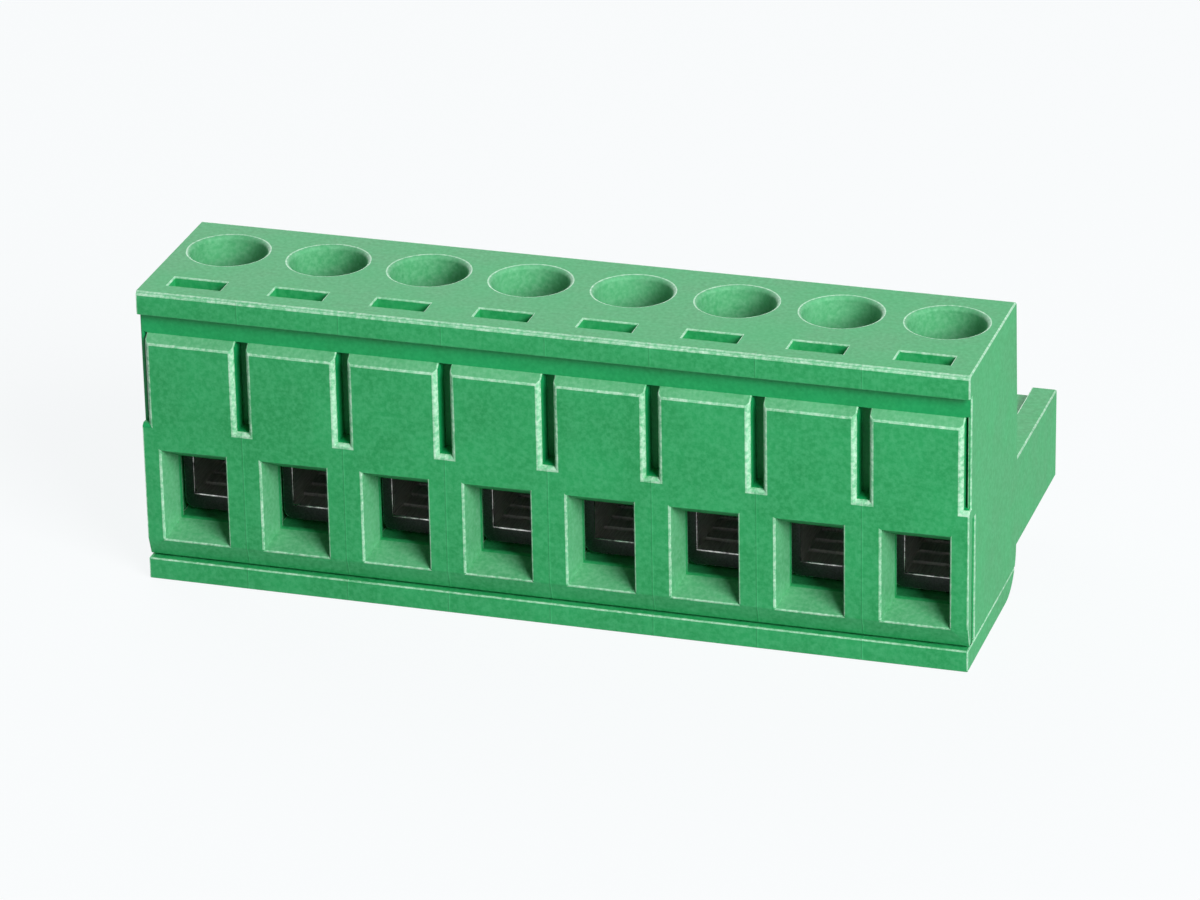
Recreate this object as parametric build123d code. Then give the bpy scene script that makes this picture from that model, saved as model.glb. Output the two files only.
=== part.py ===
"""Pluggable terminal block with rising-cage screw clamps.

The block stands on its flat base. X runs along the row of poles, the wires enter at the front, from
-Y, and the mating nose points to +Y. Z is up. The origin is the middle of the box's bottom.
While the pieces are made, Y is counted from the front face. place() then moves them to the origin.
"""
import os

from build123d import *

# Row of poles
poles = 8
pitch = 5.08
length = poles * pitch

# Outside of the body, Y from the front face and Z from the base
height = 15.0
top_depth = 9.3
root_depth = 9.8
draft_bottom = 7.5
total_depth = 18.2
heel_radius = 2.1
edge_break = 0.12

# Front face: lip, panels and the slanted skirt over the base cover
lip_height = 1.19
panel_relief = 0.45
panel_drop = 2.65
panel_bevel_rise = 0.4
groove_width = 0.61
groove_depth = 1.2
panel_step = 1.35
groove_chamfer = 0.16
end_wall_width = 0.2
skirt_top = 2.2
skirt_depth = 0.35
cover_height = 1.1

# Shallow groove down each end face
end_groove_start = 0.75
end_groove_width = 0.55
end_groove_depth = 0.25
end_groove_top = 7.5

# Wire funnels, each with a straight throat that shows the wire's floor and the strip above it
funnel_side = 0.3
funnel_drop = 0.55
funnel_rise = 0.85
funnel_depth = 1.5
throat_width = 2.7
throat_below_floor = 0.4
throat_above_strip = 0.3
throat_length = 0.4

# Marking slots on top
slot_width = 2.64
slot_depth_y = 1.05
slot_start = 1.15
slot_sink = 0.6

# Clamp screws, M2.5 with a slotted head
screw_y = 6.0
thread_diameter = 2.5
head_diameter = 3.88
head_height = 1.1
head_edge = 0.15
driver_slot_width = 0.6
driver_slot_depth = 0.65
driver_slot_turn = 35.0
screw_tip_chamfer = 0.3
driver_bore_diameter = 3.7
driver_bore_rim = 0.15

# Clamp cages, at rest fully open
cage_width = 3.8
cage_length = 5.0
cage_floor = 0.8
cage_wall = 0.55
cage_head = 1.8
cage_fold_radius = 0.5
least_wire_gap = 0.25
seat_share = 0.575
wire_floor = 3.1
grip_count = 3
grip_spacing = 1.2
grip_width = 0.3
grip_depth = 0.15
seam_width = 0.15
seam_depth = 0.35

# Contacts
strip_thickness = 0.55
strip_side_gap = 0.15
strip_bottom = 5.15
strip_overhang = 0.1
arm_thickness = 0.35
arm_side_gap = 0.15
arm_lift = 0.25
arm_root_length = 1.5
pinch_gap = 0.84
pinch_from_tip = 3.0
pinch_flat = 0.4
mouth_gap = 1.6
arm_setback = 1.2

# Mating nose
nose_bottom = 2.14
nose_floor = 0.81
nose_roof = 0.53
nose_rib_height = 0.45
nose_rib_width = 1.24
socket_width = 3.0
socket_wall = 1.1
socket_lead_in = 0.25
coding_width = 1.2
coding_depth = 0.3
coding_length = 5.0

# Clearances
thread_clearance = 0.03
shank_clearance = 0.15
head_clearance = 0.08
head_play = 0.3
chamber_clearance = 0.1
strip_clearance = 0.1
seat_clearance = 0.05
cut_past = 1.0


def pole_x(index):
    """X of a pole, counted from 0 at the left end."""
    return (index - (poles - 1) / 2) * pitch


def repeat_at_poles(shape):
    """One copy of a shape at each pole."""
    return [Pos(pole_x(index), 0, 0) * shape for index in range(poles)]


def block(x_min, x_max, y_min, y_max, z_min, z_max):
    """Box between two corners, Y from the front face."""
    box = Box(x_max - x_min, y_max - y_min, z_max - z_min)
    return Pos((x_min + x_max) / 2, (y_min + y_max) / 2, (z_min + z_max) / 2) * box


def upright(diameter, z_min, z_max, x=0.0):
    """Vertical cylinder on a screw's axis."""
    return Pos(x, screw_y, (z_min + z_max) / 2) * Cylinder(diameter / 2, z_max - z_min)


def rectangle_at(y, width, z_min, z_max):
    """Upright rectangle that faces the front, centred on a pole."""
    plane = Plane(origin=(0, y, (z_min + z_max) / 2), x_dir=(1, 0, 0), z_dir=(0, 1, 0))
    return plane * Rectangle(width, z_max - z_min)


def place(shape):
    """Move a piece from the front-face origin to the part's origin."""
    return Pos(0, -total_depth / 2, 0) * shape


# Heights that several pieces share, from the wire's floor up. The captive head lies in the solid top
# above the cage's chamber, and seat_share of what the head leaves free there is below it.
strip_top = strip_bottom + strip_thickness
cage_bottom = wire_floor - cage_floor
cage_travel = strip_bottom - wire_floor - least_wire_gap
window_top = strip_top + strip_clearance
cage_top = window_top + cage_head
chamber_top = cage_top + cage_travel + 2 * chamber_clearance
head_seat = chamber_top + seat_share * (height - chamber_top - head_height - head_play)
head_chamber_top = head_seat + head_height + head_play
screw_tip = strip_top + seat_clearance
throat_bottom = wire_floor - throat_below_floor
throat_top = strip_top + throat_above_strip
funnel_bottom = throat_bottom - funnel_drop
funnel_top = throat_top + funnel_rise
panel_top = height - panel_drop
groove_floor = funnel_top + panel_step
socket_floor = nose_bottom + nose_floor
socket_ceiling = strip_top + seat_clearance
nose_top = socket_ceiling + nose_roof
arm_bottom = socket_floor + arm_lift

# Widths and depths that several pieces share
funnel_width = throat_width + 2 * funnel_side
chamber_width = cage_width + 2 * chamber_clearance
strip_width = cage_width - 2 * (cage_wall + strip_side_gap)
arm_span = socket_width - 2 * arm_side_gap
head_chamber_diameter = head_diameter + 2 * head_clearance
cage_front = screw_y - cage_length / 2
chamber_front = min(funnel_depth + throat_length, cage_front - chamber_clearance)
chamber_back = cage_front + cage_length + chamber_clearance
socket_start = chamber_back + socket_wall


def body_profile():
    """Side outline of the whole body, base cover included, with the rounded heel at the back."""
    recess_floor = panel_top + panel_bevel_rise
    lip_bottom = height - lip_height
    arc_middle = heel_radius * (1 - 0.5 ** 0.5)
    outline = Polyline(
        (root_depth - heel_radius, 0),
        (0, 0),
        (0, cover_height),
        (skirt_depth, cover_height),
        (0, skirt_top),
        (0, panel_top),
        (panel_relief, recess_floor),
        (panel_relief, lip_bottom),
        (0, lip_bottom),
        (0, height - edge_break),
        (edge_break, height),
        (top_depth - edge_break, height),
        (top_depth, height - edge_break),
        (root_depth, draft_bottom),
        (root_depth, heel_radius),
    )
    heel = ThreePointArc(
        (root_depth, heel_radius),
        (root_depth - arc_middle, arc_middle),
        (root_depth - heel_radius, 0),
    )
    return Plane.YZ * make_face(Wire([*outline.edges(), heel]))


def nose_solid():
    """Mating nose: a flat tongue with a raised rib over each wall between the sockets."""
    nose_start = root_depth - cut_past / 2
    nose = block(-length / 2, length / 2, nose_start, total_depth, nose_bottom, nose_top)
    rib_half = nose_rib_width / 2
    rib_top = nose_top + nose_rib_height
    end_rib = length / 2 - rib_half
    for index in range(poles + 1):
        middle = min(max((index - poles / 2) * pitch, -end_rib), end_rib)
        left, right = middle - rib_half, middle + rib_half
        nose += block(left, right, nose_start, total_depth, nose_top - edge_break, rib_top)
    return nose


def funnel_cutter():
    """Tapered wire entry and the straight throat behind it."""
    slope = (throat_width - funnel_width) / funnel_depth
    rise = (throat_bottom - funnel_bottom) / funnel_depth
    drop = (funnel_top - throat_top) / funnel_depth
    mouth = rectangle_at(
        -cut_past,
        funnel_width - slope * cut_past,
        funnel_bottom - rise * cut_past,
        funnel_top + drop * cut_past,
    )
    throat = rectangle_at(funnel_depth, throat_width, throat_bottom, throat_top)
    taper = loft([mouth, throat], ruled=True)
    half = throat_width / 2
    return taper + block(-half, half, funnel_depth, chamber_front + cut_past, throat_bottom, throat_top)


def screw_cutter():
    """Driver bore with a broken rim, the chamber of the captive head and the shank's hole."""
    bore_top = height - driver_bore_rim
    rim_radius = driver_bore_diameter / 2
    cutter = upright(driver_bore_diameter, head_chamber_top, height + cut_past)
    rim = Cone(rim_radius, rim_radius + driver_bore_rim + cut_past, driver_bore_rim + cut_past)
    cutter += Pos(0, screw_y, bore_top + (driver_bore_rim + cut_past) / 2) * rim
    cutter += upright(head_chamber_diameter, head_seat, head_chamber_top)
    cutter += upright(thread_diameter + 2 * shank_clearance, chamber_top - cut_past, head_seat)
    return cutter


def socket_cutter():
    """Nose socket with its lead-in, the strip's slot and the coding groove below."""
    half = socket_width / 2
    cutter = block(-half, half, socket_start, total_depth + cut_past, socket_floor, socket_ceiling)
    flare = socket_lead_in + cut_past
    inner = rectangle_at(total_depth - socket_lead_in, socket_width, socket_floor, socket_ceiling)
    outer = rectangle_at(
        total_depth + cut_past, socket_width + 2 * flare, socket_floor - flare, socket_ceiling + flare
    )
    cutter += loft([inner, outer], ruled=True)
    slot_half = strip_width / 2 + strip_clearance
    slot_bottom = strip_bottom - strip_clearance
    cutter += block(
        -slot_half, slot_half, chamber_back - cut_past, socket_start + cut_past, slot_bottom, socket_ceiling
    )
    coding_half = coding_width / 2
    coding_start = total_depth - coding_length
    coding_top = nose_bottom + coding_depth
    cutter += block(
        -coding_half, coding_half, coding_start, total_depth + cut_past, nose_bottom - cut_past, coding_top
    )
    return cutter


def pole_cutter():
    """All that is taken out of the housing at one pole, centred on X = 0."""
    half = chamber_width / 2
    cutter = block(-half, half, chamber_front, chamber_back, cover_height - cut_past, chamber_top)
    slot_half = slot_width / 2
    slot_end = slot_start + slot_depth_y
    cutter += block(-slot_half, slot_half, slot_start, slot_end, height - slot_sink, height + cut_past)
    return cutter + funnel_cutter() + screw_cutter() + socket_cutter()


def groove_cutter():
    """Groove between two panels, with a chamfer down both sides and at its lower end."""
    half = groove_width / 2
    groove_top = panel_top + panel_bevel_rise
    flare = groove_chamfer + cut_past
    outer = rectangle_at(-cut_past, groove_width + 2 * flare, groove_floor - flare, groove_top)
    inner = rectangle_at(groove_chamfer, groove_width, groove_floor, groove_top)
    mouth = loft([outer, inner], ruled=True)
    return mouth + block(-half, half, groove_chamfer, groove_depth, groove_floor, groove_top)


def end_wall(side):
    """Thin wall level with the recess that closes the side of the last groove, side is -1 or 1."""
    face = side * length / 2
    inner = face - side * end_wall_width
    outer = face + side * cut_past
    front, back = panel_relief, groove_depth + cut_past
    return block(min(inner, outer), max(inner, outer), front, back, groove_floor - cut_past, height)


def end_groove_cutter(side):
    """Shallow groove down one end face, side is -1 or 1."""
    face = side * length / 2
    inner = face - side * end_groove_depth
    outer = face + side * cut_past
    end = end_groove_start + end_groove_width
    return block(
        min(inner, outer), max(inner, outer), end_groove_start, end, cover_height - cut_past, end_groove_top
    )


def housing_and_cover():
    """The two mouldings, parted at the base cover's top."""
    body = extrude(body_profile(), length / 2, both=True)
    big = length + 4 * cut_past
    above = block(-big, big, -big, big, cover_height, height + big)
    below = block(-big, big, -big, big, -big, cover_height)
    cutters = repeat_at_poles(pole_cutter())
    groove = groove_cutter()
    cutters += [Pos((index - poles / 2) * pitch, 0, 0) * groove for index in range(1, poles)]
    for side in (-1, 1):
        cutters += [Pos(side * length / 2, 0, 0) * groove - end_wall(side), end_groove_cutter(side)]
    housing = (body & above) + nose_solid() - cutters
    plug_half = chamber_width / 2 - seat_clearance
    plug_front = chamber_front + seat_clearance
    plug_back = chamber_back - seat_clearance
    plug_top = cage_bottom - chamber_clearance
    plug = block(-plug_half, plug_half, plug_front, plug_back, cover_height - cut_past / 2, plug_top)
    cover = (body & below) + repeat_at_poles(plug)
    return housing, cover


def clamp_screw():
    """Slotted clamp screw: the head rests on its seat, the plain shank stands for the thread."""
    head_top = head_seat + head_height
    head = upright(head_diameter, head_seat, head_top)
    head = chamfer(head.edges().sort_by(Axis.Z)[-1], head_edge)
    shank = upright(thread_diameter, screw_tip, head_seat)
    shank = chamfer(shank.edges().sort_by(Axis.Z)[0], screw_tip_chamfer)
    half = driver_slot_width / 2
    front = screw_y - head_diameter
    back = screw_y + head_diameter
    slot = block(-half, half, front, back, head_top - driver_slot_depth, head_top + cut_past)
    return head + shank - slot


def clamp_cage():
    """Rising cage, folded from a strip: floor with grip grooves, two walls and a threaded head."""
    half = cage_width / 2
    front = cage_front
    back = cage_front + cage_length
    cage = block(-half, half, front, back, cage_bottom, cage_top)
    cage = fillet(cage.edges().filter_by(Axis.Y), cage_fold_radius)
    window = half - cage_wall
    cage -= block(-window, window, front - cut_past, back + cut_past, wire_floor, window_top)
    cage -= upright(thread_diameter + 2 * thread_clearance, window_top - cut_past / 2, cage_top + cut_past)
    seam_half = seam_width / 2
    cage -= block(
        -seam_half, seam_half, front - cut_past, back + cut_past, cage_top - seam_depth, cage_top + cut_past
    )
    for index in range(grip_count):
        middle = screw_y + (index - (grip_count - 1) / 2) * grip_spacing
        cage -= block(
            -window, window, middle - grip_width / 2, middle + grip_width / 2,
            wire_floor - grip_depth, wire_floor + cut_past / 4,
        )
    return cage


def contact_arm(side):
    """One spring arm, drawn from above: straight root, inward bow to the pinch, flared mouth."""
    root = socket_start + seat_clearance
    bend = root + arm_root_length
    pinch = total_depth - pinch_from_tip
    tip = total_depth - arm_setback
    inner = arm_span / 2 - arm_thickness
    close_half = pinch_gap / 2
    mouth_half = mouth_gap / 2
    line = [
        (inner, root),
        (inner, bend),
        (close_half, pinch - pinch_flat / 2),
        (close_half, pinch + pinch_flat / 2),
        (mouth_half, tip),
    ]
    outline = [(side * x, y) for x, y in line]
    outline += [(side * (x + arm_thickness), y) for x, y in reversed(line)]
    face = make_face(Polyline(*outline, close=True))
    arm_height = strip_bottom - strip_clearance - arm_bottom
    return Pos(0, 0, arm_bottom) * extrude(face, arm_height, dir=(0, 0, 1))


def contact():
    """Tinned contact: the strip that the wire is pressed on, its root and two spring arms."""
    strip_half = strip_width / 2
    front = cage_front + strip_overhang
    root = socket_start + seat_clearance
    root_end = root + arm_root_length
    span_half = arm_span / 2
    piece = block(-strip_half, strip_half, front, root_end, strip_bottom, strip_top)
    piece += block(-span_half, span_half, root, root_end, strip_bottom, strip_top)
    for side in (-1, 1):
        middle = side * (span_half - arm_thickness / 2)
        left = middle - arm_thickness / 2
        right = middle + arm_thickness / 2
        piece += contact_arm(side)
        piece += block(left, right, root, root_end, arm_bottom, strip_top)
    return piece


def write_parts():
    """Write each piece to its own file."""
    os.makedirs("parts", exist_ok=True)
    housing, cover = housing_and_cover()
    export_step(place(housing), "parts/housing.step")
    export_step(place(cover), "parts/base_cover.step")
    screw, cage, strip = clamp_screw(), clamp_cage(), contact()
    for index in range(poles):
        at_pole = Pos(pole_x(index), 0, 0)
        turned = Pos(0, screw_y, 0) * Rot(0, 0, index * driver_slot_turn) * Pos(0, -screw_y, 0)
        export_step(place(at_pole * turned * screw), f"parts/clamp_screw_{index + 1}.step")
        export_step(place(at_pole * cage), f"parts/clamp_cage_{index + 1}.step")
        export_step(place(at_pole * strip), f"parts/contact_{index + 1}.step")


write_parts()
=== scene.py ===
"""Looks of a green pluggable terminal block with eight screw clamps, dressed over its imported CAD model.

Every piece lies where the CAD model has it, in metres. The two green mouldings, the clamp cages and
the contacts take the model's own shapes with their edges rounded, and the clamp screws get their
thread and slotted heads.
"""
import logging
import math
from dataclasses import dataclass
from enum import Enum
from typing import Any, Callable

import bmesh
import bpy
from mathutils import Matrix, Vector

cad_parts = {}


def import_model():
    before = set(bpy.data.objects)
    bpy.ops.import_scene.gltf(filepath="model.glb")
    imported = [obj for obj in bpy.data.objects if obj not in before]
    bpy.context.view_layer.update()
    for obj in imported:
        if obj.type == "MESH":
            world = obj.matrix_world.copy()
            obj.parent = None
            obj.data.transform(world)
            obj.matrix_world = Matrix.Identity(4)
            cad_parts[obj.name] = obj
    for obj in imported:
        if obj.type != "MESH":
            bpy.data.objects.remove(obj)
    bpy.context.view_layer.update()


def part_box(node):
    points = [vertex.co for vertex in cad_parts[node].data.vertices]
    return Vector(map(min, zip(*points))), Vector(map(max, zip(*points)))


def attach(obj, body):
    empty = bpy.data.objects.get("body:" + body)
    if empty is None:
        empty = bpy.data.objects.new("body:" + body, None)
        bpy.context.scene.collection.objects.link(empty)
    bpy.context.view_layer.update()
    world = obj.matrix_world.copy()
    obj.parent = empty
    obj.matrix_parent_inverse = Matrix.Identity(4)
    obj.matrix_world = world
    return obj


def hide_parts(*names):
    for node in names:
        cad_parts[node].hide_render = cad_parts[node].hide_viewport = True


LOG = logging.getLogger("terminal_block")
MM = 0.001
SHARP_DEGREES = 40
SMOOTH_DEGREES = 35
FLAT_WEIGHT = 100
FACING = 0.9
SAME_PLACE_MM = 0.001
SAME_FACE_DEGREES = 0.6

FaceTest = Callable[[Vector, Vector], bool]


def linear(hex_colour: str) -> tuple[float, float, float, float]:
    """Turn an sRGB hex colour into a linear colour with alpha 1.

    Args:
        hex_colour: Six hex digits, such as "2F9A5C".

    Returns:
        Red, green, blue and alpha, linear.
    """
    channels = [int(hex_colour[i : i + 2], 16) / 255 for i in (0, 2, 4)]
    values = [c / 12.92 if c <= 0.04045 else ((c + 0.055) / 1.055) ** 2.4 for c in channels]
    return values[0], values[1], values[2], 1.0


def add_node(
    tree: bpy.types.NodeTree,
    kind: str,
    settings: dict[str, Any] | None = None,
    inputs: dict[str | int, Any] | None = None,
) -> bpy.types.Node:
    """Add one shader node, with its settings, its values and its links.

    Args:
        tree: The material's or world's node tree.
        kind: The node's type name.
        settings: Attributes to set on the node.
        inputs: Sockets by name or number, each with a value or with the output that feeds it.

    Returns:
        The new node.
    """
    node = tree.nodes.new(kind)
    for name, value in (settings or {}).items():
        setattr(node, name, value)
    for name, value in (inputs or {}).items():
        socket = node.inputs[name]
        if isinstance(value, bpy.types.NodeSocket):
            tree.links.new(value, socket)
        else:
            socket.default_value = value
    return node


class BodyName(Enum):
    """CAD bodies that the pieces ride on, each with its pole's number where it has one."""

    PLUG = "plug_body"
    SCREW = "screw_{}"
    CAGE = "cage_{}"

    def at(self, pole: int = 0) -> str:
        """Name of the body at a pole."""
        return self.value.format(pole)


class Slot(Enum):
    """Material slots of the record."""

    GREEN = "green_housing"
    SCREW = "plated_screw"
    CAGE = "plated_cage"
    CONTACT = "tinned_contact"


class Combine(Enum):
    """Ways to combine a piece with a tool."""

    JOIN = "UNION"
    CUT = "DIFFERENCE"
    TRIM = "INTERSECT"


def new_material(name: str) -> tuple[bpy.types.Material, bpy.types.NodeTree]:
    """Add an empty node material.

    Args:
        name: The material's name.

    Returns:
        The material and its node tree.
    """
    material = bpy.data.materials.new(name)
    material.use_nodes = True
    material.node_tree.nodes.clear()
    return material, material.node_tree


@dataclass(frozen=True)
class MouldedPolyamide:
    """Polyamide 66, injection moulded in a spark-eroded tool.

    The eroded steel leaves a satin skin with a fine even grain. Between the tool's inserts, one for each
    pole, a hairline of flash stays on the front. Both are drawn a little coarser than life, to show.
    """

    name: str
    colour: str
    shade: str
    speck: str
    roughness: float = 0.54
    speck_share: float = 0.5
    grain_mm: float = 0.2
    cloud_mm: float = 2.6
    grain_height_mm: float = 0.007
    grain_strength: float = 0.5
    cloud_span: tuple[float, float] = (0.35, 0.65)
    grain_span: tuple[float, float] = (0.35, 0.75)
    polish_span: tuple[float, float] = (0.3, 0.7)
    polish_spread: float = 0.03
    ior: float = 1.50
    pitch_mm: float = 5.08
    front_mm: float = -8.72
    flash_mm: float = 0.05
    flash_share: float = 0.18
    flash_height_mm: float = 0.012

    def flash_lines(self, tree: bpy.types.NodeTree, place: bpy.types.NodeSocket) -> bpy.types.NodeSocket:
        """Draw the hairlines of flash between the poles, on the front only.

        Args:
            tree: The material's node tree.
            place: Object coordinates.

        Returns:
            A mask, 1 on the middle of a hairline and 0 away from it.
        """
        axes = add_node(tree, "ShaderNodeSeparateXYZ", inputs={"Vector": place})
        distance = add_node(
            tree,
            "ShaderNodeMath",
            settings={"operation": "PINGPONG"},
            inputs={0: axes.outputs["X"], 1: self.pitch_mm * MM / 2},
        )
        line = add_node(
            tree,
            "ShaderNodeMapRange",
            inputs={
                "Value": distance.outputs[0],
                "From Max": self.flash_mm * MM,
                "To Min": 1.0,
                "To Max": 0.0,
            },
        )
        front = add_node(
            tree,
            "ShaderNodeMath",
            settings={"operation": "LESS_THAN"},
            inputs={0: axes.outputs["Y"], 1: self.front_mm * MM},
        )
        both = add_node(
            tree,
            "ShaderNodeMath",
            settings={"operation": "MULTIPLY"},
            inputs={0: line.outputs["Result"], 1: front.outputs[0]},
        )
        return both.outputs[0]

    def build(self) -> bpy.types.Material:
        """Make the material.

        Returns:
            The finished node material.
        """
        material, tree = new_material(self.name)
        place = add_node(tree, "ShaderNodeTexCoord").outputs["Object"]
        flash = self.flash_lines(tree, place)
        cloud = add_node(
            tree,
            "ShaderNodeTexNoise",
            inputs={"Vector": place, "Scale": 1 / (self.cloud_mm * MM), "Detail": 3.0, "Roughness": 0.6},
        )
        grain = add_node(
            tree,
            "ShaderNodeTexNoise",
            inputs={"Vector": place, "Scale": 1 / (self.grain_mm * MM), "Detail": 2.0, "Roughness": 0.55},
        )
        clouded = add_node(
            tree,
            "ShaderNodeMapRange",
            inputs={
                "Value": cloud.outputs["Fac"],
                "From Min": self.cloud_span[0],
                "From Max": self.cloud_span[1],
            },
        )
        tint = add_node(
            tree,
            "ShaderNodeMix",
            settings={"data_type": "RGBA"},
            inputs={0: clouded.outputs["Result"], 6: linear(self.shade), 7: linear(self.colour)},
        )
        speckle = add_node(
            tree,
            "ShaderNodeMapRange",
            inputs={
                "Value": grain.outputs["Fac"],
                "From Min": self.grain_span[0],
                "From Max": self.grain_span[1],
                "To Max": self.speck_share,
            },
        )
        speckled = add_node(
            tree,
            "ShaderNodeMix",
            settings={"data_type": "RGBA"},
            inputs={0: speckle.outputs["Result"], 6: tint.outputs[2], 7: linear(self.speck)},
        )
        lined = add_node(
            tree,
            "ShaderNodeMath",
            settings={"operation": "MULTIPLY"},
            inputs={0: flash, 1: self.flash_share},
        )
        marked = add_node(
            tree,
            "ShaderNodeMix",
            settings={"data_type": "RGBA"},
            inputs={0: lined.outputs[0], 6: speckled.outputs[2], 7: linear(self.speck)},
        )
        polish = add_node(
            tree,
            "ShaderNodeMapRange",
            inputs={
                "Value": cloud.outputs["Fac"],
                "From Min": self.polish_span[0],
                "From Max": self.polish_span[1],
                "To Min": self.roughness - self.polish_spread,
                "To Max": self.roughness + self.polish_spread,
            },
        )
        skin = add_node(
            tree,
            "ShaderNodeBump",
            inputs={
                "Strength": self.grain_strength,
                "Distance": self.grain_height_mm * MM,
                "Height": grain.outputs["Fac"],
            },
        )
        ridge = add_node(
            tree,
            "ShaderNodeBump",
            inputs={
                "Strength": 1.0,
                "Distance": self.flash_height_mm * MM,
                "Height": flash,
                "Normal": skin.outputs["Normal"],
            },
        )
        shader = add_node(
            tree,
            "ShaderNodeBsdfPrincipled",
            inputs={
                "Base Color": marked.outputs[2],
                "Roughness": polish.outputs["Result"],
                "IOR": self.ior,
                "Normal": ridge.outputs["Normal"],
            },
        )
        add_node(tree, "ShaderNodeOutputMaterial", inputs={"Surface": shader.outputs["BSDF"]})
        return material


@dataclass(frozen=True)
class PlatedMetal:
    """Electroplated metal: its colour is the plating's, and faint streaks follow how the metal was worked.

    The plating is duller and rougher along the streaks' troughs, which breaks up what the metal mirrors.
    """

    name: str
    colour: str
    dull: str
    roughness: float
    streak_mm: tuple[float, float, float]
    streak_height_mm: float = 0.004
    streak_strength: float = 0.25
    tone_span: tuple[float, float] = (0.3, 0.7)
    rough_span: tuple[float, float] = (0.25, 0.75)
    trough_share: float = 1.3
    crest_share: float = 0.8

    def build(self) -> bpy.types.Material:
        """Make the material.

        Returns:
            The finished node material.
        """
        material, tree = new_material(self.name)
        place = add_node(tree, "ShaderNodeTexCoord").outputs["Object"]
        scale = [1 / (size * MM) for size in self.streak_mm]
        drawn = add_node(tree, "ShaderNodeMapping", inputs={"Vector": place, "Scale": scale})
        streaks = add_node(
            tree,
            "ShaderNodeTexNoise",
            inputs={"Vector": drawn.outputs["Vector"], "Scale": 1.0, "Detail": 4.0, "Roughness": 0.6},
        )
        bright = add_node(
            tree,
            "ShaderNodeMapRange",
            inputs={
                "Value": streaks.outputs["Fac"],
                "From Min": self.tone_span[0],
                "From Max": self.tone_span[1],
            },
        )
        tone = add_node(
            tree,
            "ShaderNodeMix",
            settings={"data_type": "RGBA"},
            inputs={0: bright.outputs["Result"], 6: linear(self.dull), 7: linear(self.colour)},
        )
        rough = add_node(
            tree,
            "ShaderNodeMapRange",
            inputs={
                "Value": streaks.outputs["Fac"],
                "From Min": self.rough_span[0],
                "From Max": self.rough_span[1],
                "To Min": self.roughness * self.trough_share,
                "To Max": self.roughness * self.crest_share,
            },
        )
        bump = add_node(
            tree,
            "ShaderNodeBump",
            inputs={
                "Strength": self.streak_strength,
                "Distance": self.streak_height_mm * MM,
                "Height": streaks.outputs["Fac"],
            },
        )
        shader = add_node(
            tree,
            "ShaderNodeBsdfPrincipled",
            inputs={
                "Base Color": tone.outputs[2],
                "Metallic": 1.0,
                "Roughness": rough.outputs["Result"],
                "Normal": bump.outputs["Normal"],
            },
        )
        add_node(tree, "ShaderNodeOutputMaterial", inputs={"Surface": shader.outputs["BSDF"]})
        return material


def select_only(piece: bpy.types.Object) -> None:
    """Deselect everything and make one object selected and active.

    Args:
        piece: The object that the next operators act on.
    """
    bpy.ops.object.select_all(action="DESELECT")
    piece.select_set(True)
    bpy.context.view_layer.objects.active = piece


def select_faces(piece: bpy.types.Object, wanted: FaceTest) -> None:
    """Enter edit mode with some of an object's faces selected.

    Args:
        piece: The object to edit.
        wanted: Says of a face's middle, in metres, and its normal whether it is selected.
    """
    select_only(piece)
    bpy.ops.object.mode_set(mode="EDIT")
    bpy.ops.mesh.select_mode(type="FACE")
    bpy.ops.mesh.select_all(action="DESELECT")
    mesh = bmesh.from_edit_mesh(piece.data)
    for face in mesh.faces:
        face.select_set(wanted(face.calc_center_median(), face.normal))
    bmesh.update_edit_mesh(piece.data)


def dress_faces(piece: bpy.types.Object, slot: int, wanted: FaceTest) -> None:
    """Give some of an object's faces another of its materials.

    Args:
        piece: The object to dress.
        slot: Number of the material slot.
        wanted: Says of a face's middle, in metres, and its normal whether it is dressed.
    """
    select_faces(piece, wanted)
    piece.active_material_index = slot
    bpy.ops.object.material_slot_assign()
    bpy.ops.object.mode_set(mode="OBJECT")


def new_cylinder(name: str, radius_mm: float, low_mm: float, high_mm: float, sides: int) -> bpy.types.Object:
    """Add an upright cylinder on the Z axis, between two heights.

    Args:
        name: The object's name.
        radius_mm: Its radius.
        low_mm: Height of its bottom.
        high_mm: Height of its top.
        sides: Faces around it.

    Returns:
        The new object.
    """
    bpy.ops.object.select_all(action="DESELECT")
    bpy.ops.mesh.primitive_cylinder_add(
        vertices=sides,
        radius=radius_mm * MM,
        depth=(high_mm - low_mm) * MM,
        location=(0, 0, (low_mm + high_mm) / 2 * MM),
    )
    piece = bpy.context.active_object
    piece.name = name
    bpy.ops.object.transform_apply(location=True, rotation=True, scale=True)
    return piece


def new_block(name: str, low_mm: Vector, high_mm: Vector) -> bpy.types.Object:
    """Add a block between two corners.

    Args:
        name: The object's name.
        low_mm: Its lowest corner.
        high_mm: Its highest corner.

    Returns:
        The new object.
    """
    bpy.ops.object.select_all(action="DESELECT")
    bpy.ops.mesh.primitive_cube_add(size=MM, location=(low_mm + high_mm) / 2 * MM)
    piece = bpy.context.active_object
    piece.name = name
    piece.scale = high_mm - low_mm
    bpy.ops.object.transform_apply(location=True, rotation=True, scale=True)
    return piece


def combine(piece: bpy.types.Object, tool: bpy.types.Object, how: Combine) -> None:
    """Join, cut or trim a piece with a tool, which is used up.

    Args:
        piece: The object that stays.
        tool: The object that shapes it.
        how: Which of the three.
    """
    select_only(piece)
    change = piece.modifiers.new("combine", "BOOLEAN")
    change.operation = how.value
    change.solver = "EXACT"
    change.object = tool
    bpy.ops.object.modifier_apply(modifier=change.name)
    bpy.data.objects.remove(tool, do_unlink=True)


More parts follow.
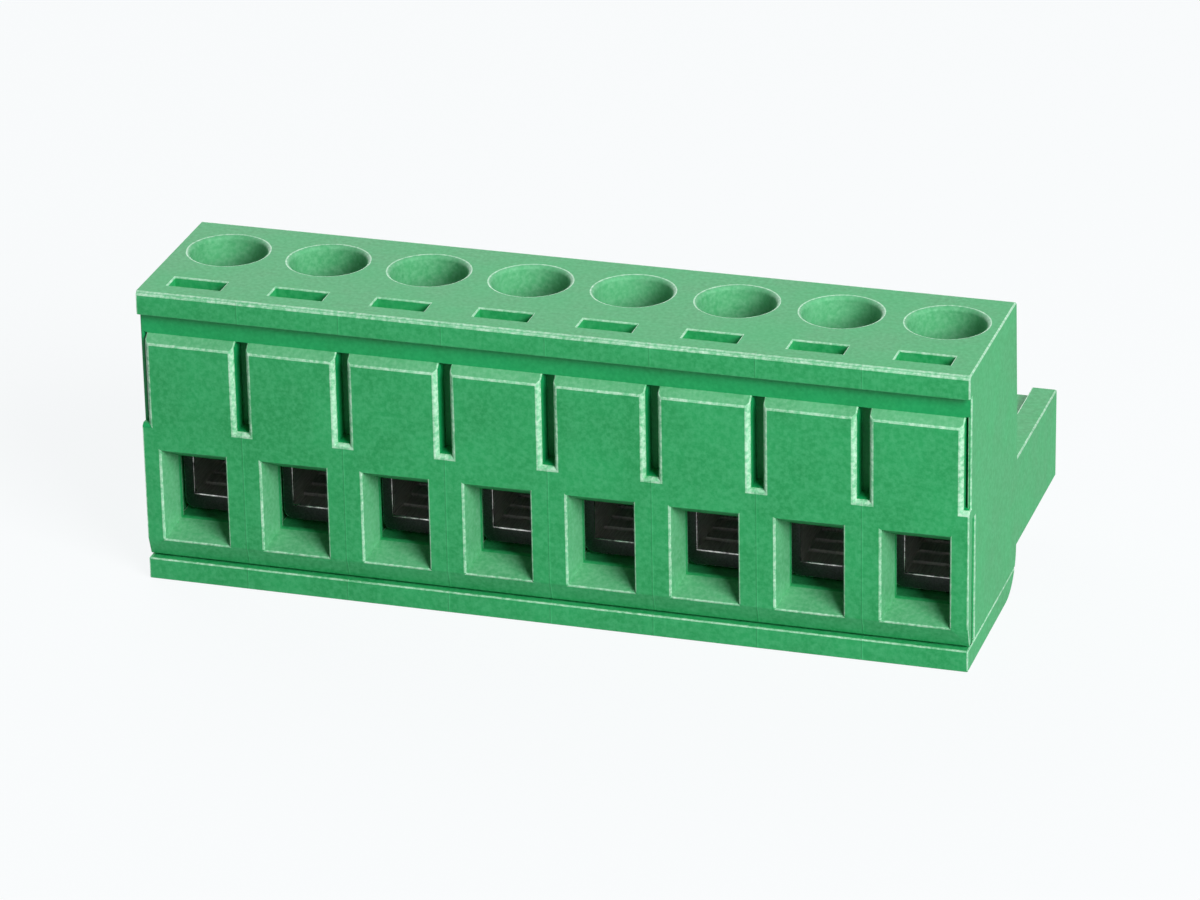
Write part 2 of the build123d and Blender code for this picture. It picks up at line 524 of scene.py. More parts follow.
def copy_of_node(node: str, name: str) -> bpy.types.Object:
    """Copy a CAD node's mesh into a new piece with clean faces.

    Args:
        node: The CAD node's name.
        name: The new piece's name.

    Returns:
        The new object, at the origin, with its doubles merged and its flat faces joined.
    """
    source = bpy.data.objects[node]
    piece = bpy.data.objects.new(name, source.data.copy())
    bpy.context.scene.collection.objects.link(piece)
    piece.data.materials.clear()
    select_only(piece)
    bpy.ops.mesh.customdata_custom_splitnormals_clear()
    bpy.ops.object.mode_set(mode="EDIT")
    bpy.ops.mesh.select_all(action="SELECT")
    bpy.ops.mesh.remove_doubles(threshold=SAME_PLACE_MM / 2 * MM)
    bpy.ops.mesh.dissolve_limited(angle_limit=math.radians(SAME_FACE_DEGREES))
    bpy.ops.object.mode_set(mode="OBJECT")
    return piece


@dataclass(frozen=True)
class Rounding:
    """One width of rounding, and which edges it is for, told by an edge's middle in mm."""

    width_mm: float
    wanted: Callable[[Vector], bool] = lambda middle: True


def round_edges(
    piece: bpy.types.Object,
    roundings: list[Rounding],
    segments: int = 2,
    edge_slot: int = -1,
) -> None:
    """Round a piece's sharp outer edges, as moulding, folding or tumbling leaves them.

    Args:
        piece: The object to finish.
        roundings: The widths, the widest first. An edge takes the first that wants it, or stays sharp.
        segments: Faces across the rounding.
        edge_slot: Material slot for the rounded faces, or -1 for the neighbours' own.
    """
    select_only(piece)
    bpy.ops.object.mode_set(mode="EDIT")
    bpy.ops.mesh.select_mode(type="EDGE")
    taken: set[int] = set()
    for rounding in roundings:
        bpy.ops.mesh.select_all(action="DESELECT")
        mesh = bmesh.from_edit_mesh(piece.data)
        for edge in mesh.edges:
            outer = edge.is_manifold and edge.is_convex
            sharp = outer and edge.calc_face_angle() > math.radians(SHARP_DEGREES)
            middle = (edge.verts[0].co + edge.verts[1].co) / 2 / MM
            if sharp and edge.index not in taken and rounding.wanted(middle):
                edge.select_set(True)
                taken.add(edge.index)
        bmesh.update_edit_mesh(piece.data)
        bpy.ops.transform.edge_bevelweight(value=rounding.width_mm / roundings[0].width_mm)
    bpy.ops.object.mode_set(mode="OBJECT")
    bevel = piece.modifiers.new("rounding", "BEVEL")
    bevel.width = roundings[0].width_mm * MM
    bevel.segments = segments
    bevel.limit_method = "WEIGHT"
    bevel.use_clamp_overlap = False
    bevel.material = edge_slot
    bpy.ops.object.modifier_apply(modifier=bevel.name)
    bpy.ops.object.shade_smooth_by_angle(angle=math.radians(SMOOTH_DEGREES))
    flat = piece.modifiers.new("flat_faces", "WEIGHTED_NORMAL")
    flat.keep_sharp = True
    flat.weight = FLAT_WEIGHT
    bpy.ops.object.modifier_apply(modifier=flat.name)


def hand_over(piece: bpy.types.Object, node: str, body: str) -> None:
    """Let a finished piece stand for its CAD node and move with its body.

    Args:
        piece: The finished piece.
        node: The CAD node that it replaces.
        body: The body that it rides on.
    """
    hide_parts(node)
    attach(piece, body)


class GreenFinish(Enum):
    """Material slots of the green mouldings."""

    SKIN = 0
    # Slot 1 holds a painted highlight, slot 2 smooth faces with painted light, and slot 3 painted shade.
    PAINTED_HIGHLIGHT = 1
    SMOOTH = 2
    PAINTED_SHADE = 3


@dataclass
class Mouldings:
    """The two green mouldings: the housing, and the base cover that closes it from below.

    The finish of a face is told by its place and its normal, in the tests whose names start with is_.
    A slant is the lowest and the highest share of the normal that points forward, or down, as minus.
    """

    skin: bpy.types.Material
    # Besides the plain skin: a painted highlight on edges, smooth faces with painted light, and painted shade
    # in the recess and grooves.
    painted_highlight: bpy.types.Material
    smooth_painted_light: bpy.types.Material
    painted_shade: bpy.types.Material
    poles: int = 8
    pitch_mm: float = 5.08
    face_mm: float = -9.0
    front_mm: float = -8.0
    recess_mm: float = -8.7
    groove_back_mm: float = -7.5
    panel_low_mm: float = 7.5
    panel_high_mm: float = 12.34
    bevel_high_mm: float = 12.76
    recess_high_mm: float = 13.85
    lip_chamfer_mm: float = 14.8
    bore_mm: float = 2.10
    bore_low_mm: float = 12.0
    mouth_side_mm: float = 1.65
    mouth_low_mm: float = 2.2
    mouth_high_mm: float = 6.9
    last_groove_mm: float = 0.3
    side_slant: tuple[float, float] = (-0.96, -0.2)
    mouth_slant: tuple[float, float] = (-0.8, -0.1)
    under_slant: tuple[float, float] = (-0.95, -0.15)
    level: float = 0.97
    near_mm: float = 0.05
    edge_mm: float = 0.07
    mouth_edge_mm: float = 0.12
    seam_mm: float = 1.1
    seam_width_mm: float = 0.1
    seam_back_mm: float = -8.4
    pin_mark_places: tuple[float, ...] = (-0.42, -0.14, 0.14, 0.42)
    pin_mark_radius_mm: float = 0.9
    pin_mark_depth_mm: float = 0.05
    gate_radius_mm: float = 0.45
    gate_depth_mm: float = 0.12
    reach_mm: float = 1.0

    def beside_pole(self, x_mm: float) -> float:
        """Distance from the nearest pole's middle, negative on its left."""
        return ((x_mm / self.pitch_mm) % 1 - 0.5) * self.pitch_mm

    def bore_y(self) -> float:
        """Place of the driver bores' axes from front to back."""
        low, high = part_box("clamp_screw_1")
        return (low[1] + high[1]) / 2 / MM

    def is_painted_highlight(self, middle: Vector, normal: Vector) -> bool:
        """Tell the chamfers of the panels' sides, which get a painted highlight.

        Args:
            middle: The face's middle, in metres.
            normal: Its normal.

        Returns:
            Whether the face is one of them.
        """
        place = middle / MM
        panel = place.y < self.front_mm and self.panel_low_mm < place.z < self.panel_high_mm
        return panel and self.side_slant[0] < normal.y < self.side_slant[1]

    def is_bore(self, middle: Vector, normal: Vector) -> bool:
        """Tell the driver bores' walls and their rims.

        Args:
            middle: The face's middle, in metres.
            normal: Its normal.

        Returns:
            Whether the face is one of them.
        """
        place = middle / MM
        distance = math.hypot(self.beside_pole(place.x), place.y - self.bore_y())
        return place.z > self.bore_low_mm and distance < self.bore_mm and abs(normal.z) < self.level

    def is_smooth_painted_light(self, middle: Vector, normal: Vector) -> bool:
        """Tell the driver bores, the wire funnels, the panels' top bevels and the lip's chamfer, which are
        smoother and paler with painted light.

        Args:
            middle: The face's middle, in metres.
            normal: Its normal.

        Returns:
            Whether the face is one of them.
        """
        place = middle / MM
        slanted = place.y < self.front_mm and self.mouth_slant[0] < normal.y < self.mouth_slant[1]
        beside = abs(self.beside_pole(place.x)) < self.mouth_side_mm
        funnel = self.mouth_low_mm < place.z < self.mouth_high_mm and beside
        bevel = self.panel_high_mm < place.z < self.bevel_high_mm
        lip = place.z > self.lip_chamfer_mm
        return self.is_bore(middle, normal) or (slanted and (funnel or bevel or lip))

    def is_painted_shade(self, middle: Vector, normal: Vector) -> bool:
        """Tell the recess under the lip and the grooves between the panels, which get painted shade.

        Args:
            middle: The face's middle, in metres.
            normal: Its normal, which is not used.

        Returns:
            Whether the face is part of them.
        """
        place = middle / MM
        behind = self.recess_mm < place.y < self.groove_back_mm
        return behind and self.panel_low_mm < place.z < self.recess_high_mm

    def is_under(self, middle: Vector, normal: Vector) -> bool:
        """Tell the front's rounded edges that look down, which keep the plain skin: the painted highlight is
        left off where light doesn't fall.
        """
        return middle.y / MM < self.front_mm and self.under_slant[0] < normal.z < self.under_slant[1]

    def is_last_groove(self, middle: Vector, normal: Vector) -> bool:
        """Tell the half groove beside the first panel, whose thin wall gets painted shade too.

        Args:
            middle: The face's middle, in metres.
            normal: Its normal, which is not used.

        Returns:
            Whether the face is part of it.
        """
        place = middle / MM
        end = -self.poles * self.pitch_mm / 2 + self.last_groove_mm
        beside = place.x < end and place.y < self.groove_back_mm
        return beside and self.panel_low_mm < place.z < self.recess_high_mm

    def roundings(self) -> list[Rounding]:
        """List the roundings' widths.

        Returns:
            The rounding of the left edges of the funnels' mouths, which is wider, and that of the rest.
        """

        def is_mouth_side(place: Vector) -> bool:
            """Tell the left edges of the mouths."""
            on_edge = abs(self.beside_pole(place.x) + self.mouth_side_mm) < self.near_mm
            return on_edge and place.y < self.face_mm and self.mouth_low_mm < place.z < self.mouth_high_mm

        return [Rounding(self.mouth_edge_mm, is_mouth_side), Rounding(self.edge_mm)]

    def open_seam(self, piece: bpy.types.Object) -> None:
        """Open the hairline seam between the housing and the base cover.

        Args:
            piece: The housing.
        """
        low, high = (Vector(corner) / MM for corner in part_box("housing"))
        seam = new_block(
            "seam",
            Vector((low.x - self.reach_mm, low.y - self.reach_mm, self.seam_mm - self.reach_mm)),
            Vector((high.x + self.reach_mm, self.seam_back_mm, self.seam_mm + self.seam_width_mm)),
        )
        combine(piece, seam, Combine.CUT)

    def dress_housing(self) -> bpy.types.Object:
        """Open the housing's seam, round its edges and give it its four finishes: the plain skin, a painted
        highlight on edges and chamfers, painted light on smooth faces and painted shade in the recess and
        grooves.

        Returns:
            The finished housing.
        """
        piece = copy_of_node("housing", "moulded_housing")
        self.open_seam(piece)
        for finish in (self.skin, self.painted_highlight, self.smooth_painted_light, self.painted_shade):
            piece.data.materials.append(finish)
        # Painted shade on the recess and the grooves.
        dress_faces(piece, GreenFinish.PAINTED_SHADE.value, self.is_painted_shade)
        # Smooth faces, paler with painted light.
        dress_faces(piece, GreenFinish.SMOOTH.value, self.is_smooth_painted_light)
        # Painted highlight on the panels' side chamfers.
        dress_faces(piece, GreenFinish.PAINTED_HIGHLIGHT.value, self.is_painted_highlight)
        # The rounded edges take the painted highlight.
        round_edges(piece, self.roundings(), edge_slot=GreenFinish.PAINTED_HIGHLIGHT.value)
        # Edges that look down go back to the plain skin, without the painted highlight.
        dress_faces(piece, GreenFinish.SKIN.value, self.is_under)
        # The bores' walls and rims get the painted light again after rounding.
        dress_faces(piece, GreenFinish.SMOOTH.value, self.is_bore)
        # Painted shade on the half groove beside the first panel.
        dress_faces(piece, GreenFinish.PAINTED_SHADE.value, self.is_last_groove)
        hand_over(piece, "housing", BodyName.PLUG.at())
        return piece

    def mark(
        self, piece: bpy.types.Object, x_mm: float, y_mm: float, radius_mm: float, depth_mm: float
    ) -> None:
        """Press one shallow round mark into the underside.

        Args:
            piece: The base cover.
            x_mm: Place along the row.
            y_mm: Place from front to back.
            radius_mm: The mark's radius.
            depth_mm: How deep it goes.
        """
        tool = new_cylinder("pin", radius_mm, -self.reach_mm, depth_mm, sides=32)
        tool.location = (x_mm * MM, y_mm * MM, 0)
        combine(piece, tool, Combine.CUT)

    def dress_cover(self) -> bpy.types.Object:
        """Press the ejector's and the gate's marks into the base cover, round its edges and dress it.

        Returns:
            The finished base cover.
        """
        piece = copy_of_node("base_cover", "moulded_base_cover")
        low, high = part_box("base_cover")
        middle = (low[1] + high[1]) / 2 / MM
        for share in self.pin_mark_places:
            x = share * (high[0] - low[0]) / MM
            self.mark(piece, x, middle, self.pin_mark_radius_mm, self.pin_mark_depth_mm)
        self.mark(piece, 0.0, middle, self.gate_radius_mm, self.gate_depth_mm)
        piece.data.materials.append(self.skin)
        piece.data.materials.append(self.painted_highlight)
        # The cover's rounded edges get the painted highlight, and those that look down the plain skin.
        round_edges(piece, [Rounding(self.edge_mm)], edge_slot=GreenFinish.PAINTED_HIGHLIGHT.value)
        dress_faces(piece, GreenFinish.SKIN.value, self.is_under)
        hand_over(piece, "base_cover", BodyName.PLUG.at())
        return piece

    def build(self) -> list[bpy.types.Object]:
        """Finish the housing and the base cover.

        Returns:
            The housing and the base cover.
        """
        return [self.dress_housing(), self.dress_cover()]


@dataclass
class ClampScrews:
    """Eight slotted M2.5 clamp screws: turned blanks with a rolled thread and a neck under the head."""

    plating: bpy.types.Material
    poles: int = 8
    head_height_mm: float = 1.1
    head_chamfer_mm: float = 0.15
    slot_width_mm: float = 0.6
    slot_depth_mm: float = 0.65
    slot_turn: float = 35.0
    thread_mm: float = 2.5
    thread_pitch_mm: float = 0.45
    thread_steps: int = 24
    thread_depth_share: float = 0.5413
    neck_mm: float = 2.0
    neck_length_mm: float = 0.6
    tip_chamfer_mm: float = 0.3
    edge_mm: float = 0.04
    sides: int = 64

    def thread(self, low_mm: float, high_mm: float) -> bpy.types.Object:
        """Roll the thread: its section is drawn once and swept up the shank.

        Args:
            low_mm: Height of the thread's start.
            high_mm: Height of its end.

        Returns:
            A closed threaded rod on the Z axis.
        """
        pitch, crest = self.thread_pitch_mm, self.thread_mm / 2
        root = crest - self.thread_depth_share * pitch
        # A metric section: a quarter of the pitch is root, an eighth is crest, and the flanks are even.
        section = ((root, pitch / 4), (crest, pitch * 9 / 16), (crest, pitch * 11 / 16), (root, pitch))
        bpy.ops.object.select_all(action="DESELECT")
        bpy.ops.mesh.primitive_plane_add(size=MM, location=(root * MM, 0, (low_mm - pitch) * MM))
        rod = bpy.context.active_object
        bpy.ops.object.transform_apply(location=True, rotation=True, scale=True)
        bpy.ops.object.mode_set(mode="EDIT")
        bpy.ops.mesh.select_all(action="SELECT")
        bpy.ops.mesh.merge(type="CENTER")
        before = Vector((root, 0, 0))
        for radius, rise in section:
            point = Vector((radius, 0, rise))
            bpy.ops.mesh.extrude_region_move(TRANSFORM_OT_translate={"value": (point - before) * MM})
            before = point
        bpy.ops.object.mode_set(mode="OBJECT")
        sweep = rod.modifiers.new("thread", "SCREW")
        sweep.axis = "Z"
        sweep.screw_offset = pitch * MM
        sweep.iterations = math.ceil((high_mm - low_mm) / pitch) + 2
        sweep.steps = sweep.render_steps = self.thread_steps
        bpy.ops.object.modifier_apply(modifier=sweep.name)
        bpy.ops.object.mode_set(mode="EDIT")
        for height, side in ((low_mm, -1), (high_mm, 1)):
            bpy.ops.mesh.select_all(action="SELECT")
            bpy.ops.mesh.remove_doubles(threshold=SAME_PLACE_MM * MM)
            bpy.ops.mesh.bisect(
                plane_co=(0, 0, height * MM), plane_no=(0, 0, side), use_fill=True, clear_outer=True
            )
        bpy.ops.mesh.select_all(action="SELECT")
        bpy.ops.mesh.normals_make_consistent(inside=False)
        bpy.ops.object.mode_set(mode="OBJECT")
        return rod

    def shank(self, tip_mm: float, seat_mm: float) -> bpy.types.Object:
        """Make the shank: a thread with a chamfered tip, and a plain neck above it.

        Args:
            tip_mm: Height of the screw's tip.
            seat_mm: Height of the head's underside.

        Returns:
            The shank on the Z axis.
        """
        neck_low = seat_mm - self.neck_length_mm
        shank = self.thread(tip_mm, neck_low)
        blank = new_cylinder("blank", self.thread_mm / 2 + self.edge_mm, tip_mm, seat_mm, self.sides)
        select_faces(blank, lambda middle, normal: normal.z < -FACING)
        bpy.ops.mesh.bevel(offset=(self.tip_chamfer_mm + self.edge_mm) * MM, segments=1, affect="EDGES")
        bpy.ops.object.mode_set(mode="OBJECT")
        combine(shank, blank, Combine.TRIM)
        low, high = neck_low - self.edge_mm, seat_mm + self.edge_mm
        neck = new_cylinder("neck", self.neck_mm / 2, low, high, self.sides)
        combine(shank, neck, Combine.JOIN)
        return shank

    def head(self, seat_mm: float, top_mm: float, radius_mm: float) -> bpy.types.Object:
        """Turn the head, chamfer its rim and saw its slot.

        Args:
            seat_mm: Height of its underside.
            top_mm: Height of its top.
            radius_mm: Its radius.

        Returns:
            The head on the Z axis.
        """
        head = new_cylinder("head", radius_mm, seat_mm, top_mm, self.sides)
        select_faces(head, lambda middle, normal: normal.z > FACING)
        bpy.ops.mesh.bevel(offset=self.head_chamfer_mm * MM, segments=1, affect="EDGES")
        bpy.ops.object.mode_set(mode="OBJECT")
        half = self.slot_width_mm / 2
        saw = new_block(
            "saw",
            Vector((-half, -2 * radius_mm, top_mm - self.slot_depth_mm)),
            Vector((half, 2 * radius_mm, top_mm + self.slot_depth_mm)),
        )
        combine(head, saw, Combine.CUT)
        round_edges(head, [Rounding(self.edge_mm)])
        return head

    def build(self) -> list[bpy.types.Object]:
        """Model one screw, and put a copy in each pole with its slot turned as it was left.

        Returns:
            The eight screws, from left to right.
        """
        low, high = (Vector(corner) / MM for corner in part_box("clamp_screw_1"))
        seat = high.z - self.head_height_mm
        model = self.shank(low.z, seat)
        combine(model, self.head(seat, high.z, (high.x - low.x) / 2), Combine.JOIN)
        model.data.materials.clear()
        model.data.materials.append(self.plating)
        select_only(model)
        bpy.ops.object.shade_smooth_by_angle(angle=math.radians(SMOOTH_DEGREES))
        made = []
        for pole in range(1, self.poles + 1):
            node = f"clamp_screw_{pole}"
            low, high = (Vector(corner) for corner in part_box(node))
            screw = bpy.data.objects.new(f"slotted_screw_{pole}", model.data.copy())
            bpy.context.scene.collection.objects.link(screw)
            screw.location = ((low.x + high.x) / 2, (low.y + high.y) / 2, 0)
            screw.rotation_euler.z = math.radians(self.slot_turn * (pole - 1))
            select_only(screw)
            bpy.ops.object.transform_apply(location=True, rotation=True, scale=True)
            hand_over(screw, node, BodyName.SCREW.at(pole))
            made.append(screw)
        bpy.data.objects.remove(model, do_unlink=True)
        return made


class CageFinish(Enum):
    """Material slots of the cages."""

    # Outer plating with painted shade, inside plating with painted light, and painted glints on the outer
    # edges.
    PLATED_PAINTED_SHADE = 0
    INSIDE = 1
    PAINTED_GLINT = 2


@dataclass
class ClampCages:
    """Eight rising cages, each folded from steel strip into a box with a threaded head of three layers."""

    # The plating is darkened as painted shade, the inside is paler as painted light, and the bright finish
    # paints glints on the outer edges.
    plating: bpy.types.Material
    inside: bpy.types.Material
    bright: bpy.types.Material
    poles: int = 8
    edge_mm: float = 0.06
    head_mm: float = 1.8
    layers: int = 3
    line_mm: float = 0.06
    line_depth_mm: float = 0.12
    fold_mm: float = 0.5

    def is_outside(self, place: Vector, low: Vector, high: Vector) -> bool:
        """Tell what is on a cage's outside from what is inside it.

        Args:
            place: A place on the cage, in mm.
            low: The cage's lowest corner.
            high: Its highest corner.

        Returns:
            Whether the place is on a side, the front or the back.
        """
        deep = self.edge_mm
        return not (low.y + deep < place.y < high.y - deep and low.x + deep < place.x < high.x - deep)

    def score(self, cage: bpy.types.Object, low: Vector, high: Vector) -> None:
        """Score the lines between the head's layers into the cage's front and back.

        Args:
            cage: The cage.
            low: Its lowest corner, in mm.
            high: Its highest corner.
        """
        for layer in range(1, self.layers):
            line = high.z - self.head_mm * layer / self.layers
            for face, inward in ((low.y, 1), (high.y, -1)):
                start, end = sorted((face - inward * self.fold_mm, face + inward * self.line_depth_mm))
                scorer = new_block(
                    "scorer",
                    Vector((low.x + self.fold_mm, start, line - self.line_mm / 2)),
                    Vector((high.x - self.fold_mm, end, line + self.line_mm / 2)),
                )
                combine(cage, scorer, Combine.CUT)

    def dress(self, cage: bpy.types.Object, low: Vector, high: Vector) -> None:
        """Round the cage's outer edges, which get painted glints, and plate it, with painted shade outside
        and painted light inside.

        Args:
            cage: The cage.
            low: Its lowest corner, in mm.
            high: Its highest corner.
        """
        cage.data.materials.clear()
        for finish in (self.plating, self.inside, self.bright):
            cage.data.materials.append(finish)
        inner = CageFinish.INSIDE.value
        # The inside faces take the paler plating: painted light.
        dress_faces(cage, inner, lambda middle, normal: not self.is_outside(middle / MM, low, high))
        outer = Rounding(self.edge_mm, lambda middle: self.is_outside(middle, low, high))
        # The rounded outer edges take the painted glints.
        round_edges(cage, [outer], edge_slot=CageFinish.PAINTED_GLINT.value)

    def build(self) -> list[bpy.types.Object]:
        """Score the layers' lines into each cage's head, and round and dress it.

        Returns:
            The eight cages, from left to right.
        """
        made = []
        for pole in range(1, self.poles + 1):
            node = f"clamp_cage_{pole}"
            cage = copy_of_node(node, f"folded_cage_{pole}")
            low, high = (Vector(corner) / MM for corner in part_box(node))
            self.score(cage, low, high)
            self.dress(cage, low, high)
            hand_over(cage, node, BodyName.CAGE.at(pole))
            made.append(cage)
        return made


@dataclass
class SpringContacts:
    """Eight contacts: a strip that the wire is pressed on, and two spring arms that grip the header's pin."""

    plating: bpy.types.Material
    poles: int = 8
    edge_mm: float = 0.05

    def build(self) -> list[bpy.types.Object]:
        """Round and dress the contact of each pole.

        Returns:
            The eight contacts, from left to right.
        """
        made = []
        for pole in range(1, self.poles + 1):
            node = f"contact_{pole}"
            contact = copy_of_node(node, f"spring_contact_{pole}")
            contact.data.materials.append(self.plating)
            round_edges(contact, [Rounding(self.edge_mm)])
            hand_over(contact, node, BodyName.PLUG.at())
            made.append(contact)
        return made


@dataclass(frozen=True)
class Lamp:
    """One soft square lamp: the way to it from the block, its side in metres and its power in watts.

    Where a lamp isn't mirrored, glossy faces don't show it, because it would burn out one seen at a slant.
    """

    name: str
    toward: tuple[float, float, float]
    size: float
    power: float
    mirrored: bool = True


@dataclass
class Studio:
    """Pale paper floor, white surroundings, soft lamps and the photograph's camera."""

    lamps: tuple[Lamp, ...] = (
        Lamp("key_lamp", (0.665, -0.558, 0.525), 0.22, 2.75, mirrored=False),
        Lamp("back_lamp", (-0.45, 0.80, 0.40), 0.50, 1.0),
        Lamp("rear_fill", (-0.62, 0.78, 0.08), 0.40, 1.1, mirrored=False),
    )
    paper: str = "FAFCFD"
    surround: str = "F9FBFC"
    bounce: str = "A0A2A3"
    paper_glow: float = 0.92
    floor_size: float = 6.0
    floor_drop_mm: float = 0.02
    sky: float = 0.08
    lamp_distance: float = 0.45
    camera_azimuth: float = 17.27
    camera_elevation: float = 24.1
    camera_roll: float = -1.08
    camera_distance_mm: float = 281.3
    focal_px: float = 6021.0
    image_width_px: float = 1200.0
    sensor_mm: float = 36.0
    target_mm: tuple[float, float, float] = (2.60, -9.1, 9.37)
    nearest: float = 0.005
    farthest: float = 10.0

    def add_camera(self) -> bpy.types.Object:
        """Set the camera where the photograph's was.

        Returns:
            The scene's camera.
        """
        azimuth = math.radians(self.camera_azimuth)
        elevation = math.radians(self.camera_elevation)
        roll = math.radians(self.camera_roll)
        back = Vector(
            (
                math.sin(azimuth) * math.cos(elevation),
                -math.cos(azimuth) * math.cos(elevation),
                math.sin(elevation),
            )
        )
        level = Vector((math.cos(azimuth), math.sin(azimuth), 0.0))
        upright = back.cross(level)
        right = math.cos(roll) * level + math.sin(roll) * upright
        up = math.cos(roll) * upright - math.sin(roll) * level
        data = bpy.data.cameras.new("camera")
        data.sensor_fit = "HORIZONTAL"
        data.sensor_width = self.sensor_mm
        data.lens = self.focal_px / self.image_width_px * self.sensor_mm
        data.clip_start = self.nearest
        data.clip_end = self.farthest
        camera = bpy.data.objects.new("camera", data)
        bpy.context.scene.collection.objects.link(camera)
        place = Vector(self.target_mm) * MM + back * self.camera_distance_mm * MM
        turn = Matrix((right, up, back)).transposed()
        camera.matrix_world = Matrix.Translation(place) @ turn.to_4x4()
        bpy.context.scene.camera = camera
        return camera

    def seen_ray(self, tree: bpy.types.NodeTree) -> bpy.types.NodeSocket:
        """Tell the rays that see the surroundings, straight or in a reflection, from those that light.

        Args:
            tree: The floor's or the world's node tree.

        Returns:
            1 for a camera ray or a glossy ray, and 0 for any other.
        """
        path = add_node(tree, "ShaderNodeLightPath")
        seen = add_node(
            tree,
            "ShaderNodeMath",
            settings={"operation": "MAXIMUM"},
            inputs={0: path.outputs["Is Camera Ray"], 1: path.outputs["Is Glossy Ray"]},
        )
        return seen.outputs[0]

    def add_floor(self) -> bpy.types.Object:
        """Lay a wide pale paper floor under the block.

        Returns:
            The floor, which isn't part of the object.
        """
        bpy.ops.object.select_all(action="DESELECT")
        bpy.ops.mesh.primitive_plane_add(size=self.floor_size, location=(0, 0, -self.floor_drop_mm * MM))
        floor = bpy.context.active_object
        floor.name = "floor"
        material, tree = new_material("matt_studio_paper")
        seen = self.seen_ray(tree)
        tone = add_node(
            tree,
            "ShaderNodeMix",
            settings={"data_type": "RGBA"},
            inputs={0: seen, 6: linear(self.bounce), 7: linear(self.paper)},
        )
        paper = add_node(tree, "ShaderNodeBsdfDiffuse", inputs={"Color": tone.outputs[2]})
        glow = add_node(tree, "ShaderNodeEmission", inputs={"Color": linear(self.paper), "Strength": 1.0})
        share = add_node(
            tree, "ShaderNodeMapRange", inputs={"Value": seen, "To Min": 0.0, "To Max": self.paper_glow}
        )
        mix = add_node(
            tree,
            "ShaderNodeMixShader",
            inputs={0: share.outputs["Result"], 1: paper.outputs["BSDF"], 2: glow.outputs["Emission"]},
        )
        add_node(tree, "ShaderNodeOutputMaterial", inputs={"Surface": mix.outputs["Shader"]})
        floor.data.materials.append(material)
        return floor

    def add_lamp(self, lamp: Lamp) -> None:
        """Hang one soft lamp that faces the block.

        Args:
            lamp: The lamp to hang.
        """
        data = bpy.data.lights.new(lamp.name, "AREA")
        data.shape = "SQUARE"
        data.size = lamp.size
        data.energy = lamp.power
        hung = bpy.data.objects.new(lamp.name, data)
        hung.visible_glossy = lamp.mirrored
        bpy.context.scene.collection.objects.link(hung)
        outward = Vector(lamp.toward).normalized()
        hung.location = outward * self.lamp_distance
        hung.rotation_euler = outward.to_track_quat("Z", "Y").to_euler()

    def add_world(self) -> None:
        """White surroundings for the camera and reflections, and a dimmer even light on the block."""
        world = bpy.data.worlds.new("studio")
        bpy.context.scene.world = world
        world.use_nodes = True
        tree = world.node_tree
        tree.nodes.clear()
        strength = add_node(
            tree,
            "ShaderNodeMapRange",
            inputs={"Value": self.seen_ray(tree), "To Min": self.sky, "To Max": 1.0},
        )
        shader = add_node(
            tree,
            "ShaderNodeBackground",
            inputs={"Color": linear(self.surround), "Strength": strength.outputs["Result"]},
        )
        add_node(tree, "ShaderNodeOutputWorld", inputs={"Surface": shader.outputs["Background"]})

    def build(self) -> None:
        """Set up the whole studio."""
        bpy.context.scene.view_settings.view_transform = "Standard"
        self.add_camera()
        self.add_floor()
        self.add_world()
        for lamp in self.lamps:
            self.add_lamp(lamp)


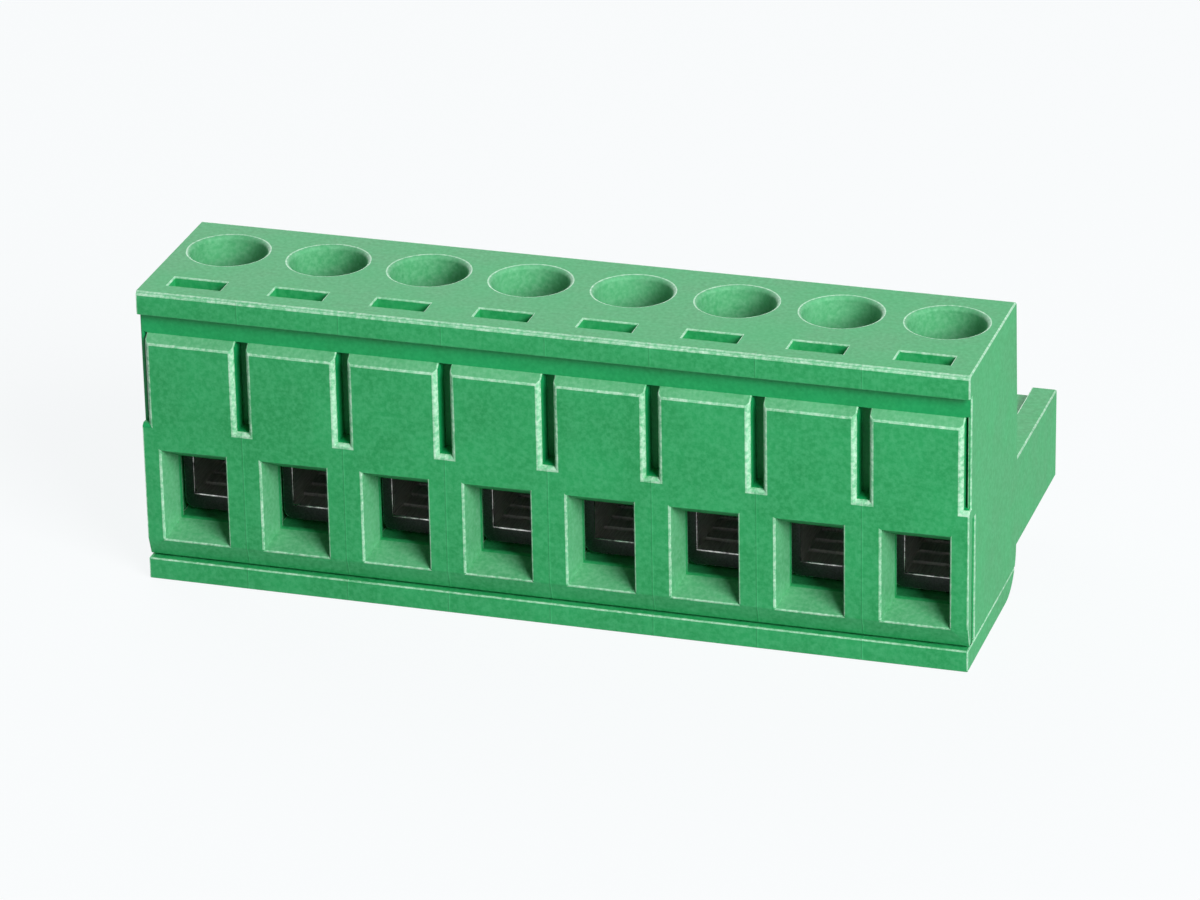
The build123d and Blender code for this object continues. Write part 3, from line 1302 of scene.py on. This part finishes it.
def green_mouldings() -> Mouldings:
    """Choose the four finishes of the green polyamide.

    Returns:
        The mouldings, ready to build.
    """
    # The eroded steel of the tool gives most faces a satin skin.
    skin = MouldedPolyamide("moulded_polyamide", colour="259A58", shade="1A8E4D", speck="4FB67B").build()
    # Outer edges and the panels' side chamfers get a painted highlight: paler specks on a smoother skin.
    painted_highlight = MouldedPolyamide(
        "painted_highlight_polyamide", colour="7AC797", shade="5DB37D", speck="CDEBD5", roughness=0.34, speck_share=0.8
    ).build()
    # Polished core pins and inserts mould the bores, the funnels and the bevels smoother, and their paler
    # green is painted light.
    smooth_painted_light = MouldedPolyamide(
        "smooth_painted_light_polyamide", colour="55A974", shade="4A9E69", speck="80C398", roughness=0.38
    ).build()
    # The recess and the grooves get painted shade: a deeper, duller green.
    painted_shade = MouldedPolyamide(
        "painted_shade_polyamide", colour="129554", shade="0A8C4B", speck="2CA864", roughness=0.58
    ).build()
    return Mouldings(skin, painted_highlight, smooth_painted_light, painted_shade)


def clamp_parts() -> list[ClampScrews | ClampCages | SpringContacts]:
    """Choose the plating of the metal parts.

    Returns:
        The screws, the cages and the contacts, ready to build.
    """
    # Bright zinc, turned and rolled: pale bluish grey with fine upright streaks.
    zinc = PlatedMetal("zinc_plated_steel", "D9DCDD", "AEB2B5", 0.24, (0.1, 0.1, 0.6)).build()
    # Nickel over steel strip, satin: its outside is darkened with painted shade, its inside made paler with
    # painted light, and its outer edges get painted glints.
    nickel = PlatedMetal("nickel_strip_painted_shade", "747576", "5C5D5E", 0.42, (0.08, 1.2, 0.08)).build()
    inside = PlatedMetal("nickel_inside_painted_light", "DAD9D4", "C0BFBA", 0.55, (0.08, 1.2, 0.08)).build()
    bright = PlatedMetal("nickel_painted_glints", "FAF9F6", "3C3D3E", 0.25, (0.40, 0.40, 0.40)).build()
    # Tin over copper alloy: soft, pale and a little rough.
    tin = PlatedMetal("tinned_copper_alloy", "B9B8B3", "8F8E89", 0.40, (0.12, 1.5, 0.12)).build()
    return [ClampScrews(zinc), ClampCages(nickel, inside, bright), SpringContacts(tin)]


def main() -> None:
    """Build the block's pieces in order, then the studio."""
    logging.basicConfig(level=logging.INFO, format="%(message)s")
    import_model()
    for row in [green_mouldings(), *clamp_parts()]:
        for piece in row.build():
            LOG.info("%s: %d faces", piece.name, len(piece.data.polygons))
    Studio().build()


if __name__ == "__main__":
    main()
